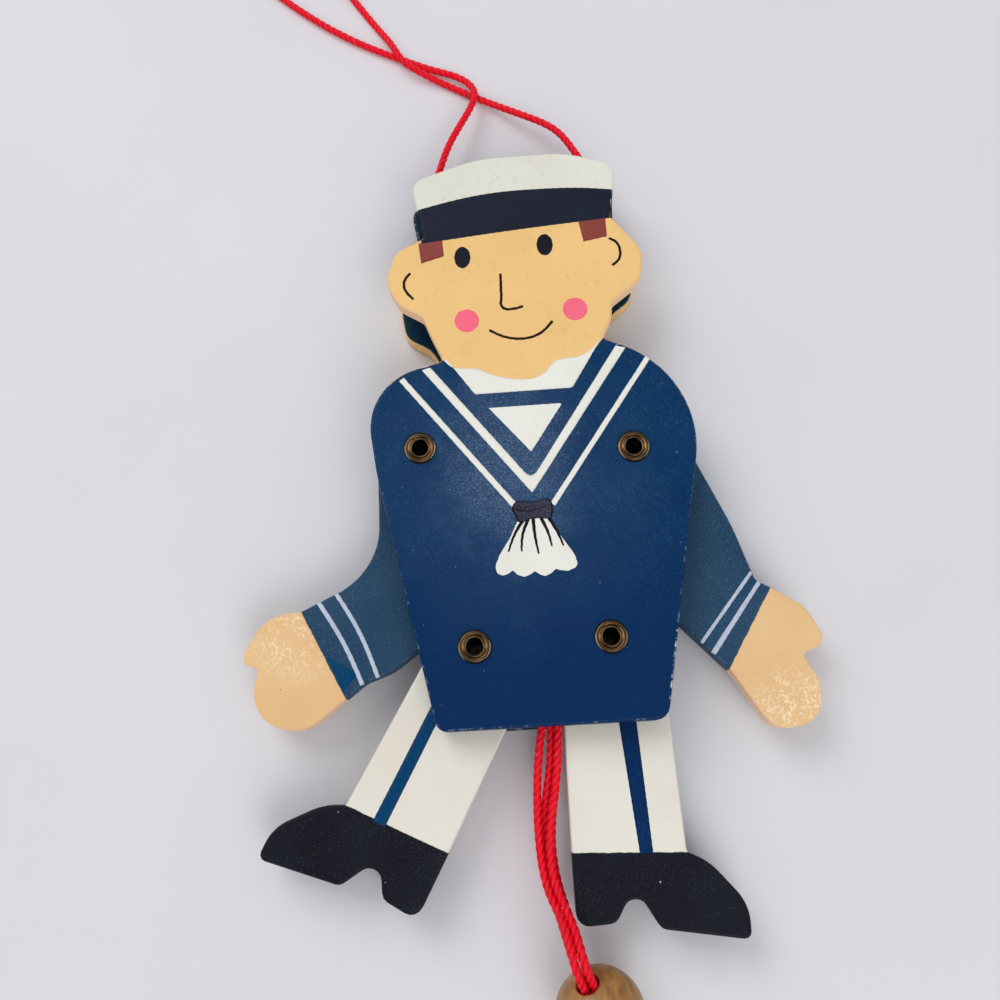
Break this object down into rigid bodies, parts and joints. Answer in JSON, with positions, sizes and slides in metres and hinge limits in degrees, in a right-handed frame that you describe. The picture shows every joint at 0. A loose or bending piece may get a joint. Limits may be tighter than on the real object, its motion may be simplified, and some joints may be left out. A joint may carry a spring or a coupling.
{
  "type": "pull-string jumping jack",
  "caption": "Flat wooden sailor figure whose arms and legs, pinned on tubular eyelets between two plates, swing outwards when a bead on a bunch of strings is pulled.",
  "frame": {"origin": "on the rear plate's back face, midway between the four limb pivots", "axes": "+X to the right of the picture, +Y from the hem towards the head, +Z out of the painted front"},
  "size_m": [0.1241, 0.2827, 0.018],
  "materials": {
    "painted_plate": "glossy paint",
    "painted_arm": "satin paint",
    "painted_leg": "satin paint",
    "bare_wood": "unpainted",
    "bead_wood": "satin varnish",
    "eyelet_brass": "antique",
    "red_cord": "twisted cord"
  },
  "bodies": {
    "figure": {"front_plate": "painted_plate", "back_plate": "painted_plate", "head_spacer": "bare_wood", "left_shoulder_eyelet": "eyelet_brass", "right_shoulder_eyelet": "eyelet_brass", "left_hip_eyelet": "eyelet_brass", "right_hip_eyelet": "eyelet_brass", "hanger_anchor_cord": "red_cord", "left_hanger_cord": "red_cord", "right_hanger_cord": "red_cord", "hanger_knot": "red_cord"},
    "pull": {"left_arm_string": "red_cord", "right_arm_string": "red_cord", "left_leg_string": "red_cord", "right_leg_string": "red_cord", "left_pull_string": "red_cord", "right_pull_string": "red_cord", "middle_pull_string": "red_cord", "lower_pull_string": "red_cord", "pull_bead": "bead_wood", "bead_knot": "red_cord"},
    "left_arm_swing": {"left_arm": "painted_arm", "left_arm_knot": "red_cord"},
    "right_arm_swing": {"right_arm": "painted_arm", "right_arm_knot": "red_cord"},
    "left_leg_swing": {"left_leg": "painted_leg", "left_leg_knot": "red_cord"},
    "right_leg_swing": {"right_leg": "painted_leg", "right_leg_knot": "red_cord"}
  },
  "joints": [
    {"name": "bead_pull", "type": "slide", "parent": "figure", "child": "pull", "axis": [0, -1, 0], "range_m": [0, 0.0127], "deforming": ["left_arm_string", "right_arm_string", "left_leg_string", "right_leg_string"]},
    {"name": "left_shoulder", "type": "hinge", "parent": "figure", "child": "left_arm_swing", "pos_m": [-0.0232, 0.02275, 0], "axis": [0, 0, -1], "range_deg": [0, 105.1]},
    {"name": "right_shoulder", "type": "hinge", "parent": "figure", "child": "right_arm_swing", "pos_m": [0.0232, 0.01955, 0], "axis": [0, 0, 1], "range_deg": [0, 110.1]},
    {"name": "left_hip", "type": "hinge", "parent": "figure", "child": "left_leg_swing", "pos_m": [-0.0142, -0.02115, 0], "axis": [0, 0, -1], "range_deg": [0, 42.8]},
    {"name": "right_hip", "type": "hinge", "parent": "figure", "child": "right_leg_swing", "pos_m": [0.0142, -0.02115, 0], "axis": [0, 0, 1], "range_deg": [0, 74.1]}
  ],
  "couplings": [
    {"joint": "left_shoulder", "follows": "bead_pull", "rad_per_m": 144.3},
    {"joint": "right_shoulder", "follows": "bead_pull", "rad_per_m": 151.2},
    {"joint": "left_hip", "follows": "bead_pull", "rad_per_m": 58.7},
    {"joint": "right_hip", "follows": "bead_pull", "rad_per_m": 101.7}
  ]
}
